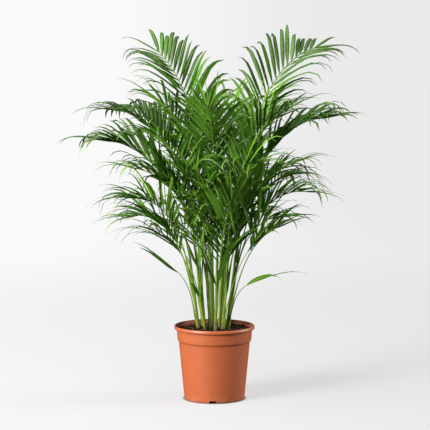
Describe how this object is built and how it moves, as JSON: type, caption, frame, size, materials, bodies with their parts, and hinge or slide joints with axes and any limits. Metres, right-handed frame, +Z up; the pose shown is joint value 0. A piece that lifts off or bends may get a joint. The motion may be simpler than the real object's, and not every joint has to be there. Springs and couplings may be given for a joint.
{
  "type": "potted palm",
  "caption": "Potted areca palm: a clump of slender cane stems with long arching feathered fronds, growing from soil in a tapered terracotta-coloured nursery pot.",
  "frame": {"origin": "on the ground, under the middle of the whole potted plant's extent", "axes": "+Z up, from the pot's foot towards the fronds' tips; the front, as pictured, faces -Y; +X to the right as pictured"},
  "size_m": [0.914, 0.784, 1.1144],
  "materials": {
    "pot": "satin",
    "soil": "matte",
    "stem": "satin",
    "foliage": "satin"
  },
  "bodies": {
    "root": {"pot": "pot", "soil": "soil", "stem_01": "stem", "stem_02": "stem", "stem_03": "stem", "stem_04": "stem", "stem_05": "stem", "stem_06": "stem", "stem_07": "stem", "stem_08": "stem", "stem_09": "stem", "stem_10": "stem", "stem_11": "stem", "stem_12": "stem", "spear": "foliage", "frond_01": "foliage", "frond_02": "foliage", "frond_03": "foliage", "frond_04": "foliage", "frond_05": "foliage", "frond_06": "foliage", "frond_07": "foliage", "frond_08": "foliage", "frond_09": "foliage", "frond_10": "foliage", "frond_11": "foliage", "frond_12": "foliage", "frond_13": "foliage", "frond_14": "foliage", "frond_15": "foliage", "frond_16": "foliage", "frond_17": "foliage", "frond_18": "foliage", "frond_19": "foliage", "frond_20": "foliage", "frond_21": "foliage", "frond_22": "foliage", "frond_23": "foliage", "frond_24": "foliage", "frond_25": "foliage", "frond_26": "foliage", "frond_27": "foliage", "frond_28": "foliage", "frond_29": "foliage", "frond_30": "foliage", "frond_31": "foliage", "frond_32": "foliage", "frond_33": "foliage", "frond_34": "foliage", "frond_35": "foliage", "frond_36": "foliage", "frond_37": "foliage", "frond_38": "foliage", "frond_39": "foliage", "frond_40": "foliage", "frond_41": "foliage", "frond_42": "foliage"}
  },
  "joints": []
}
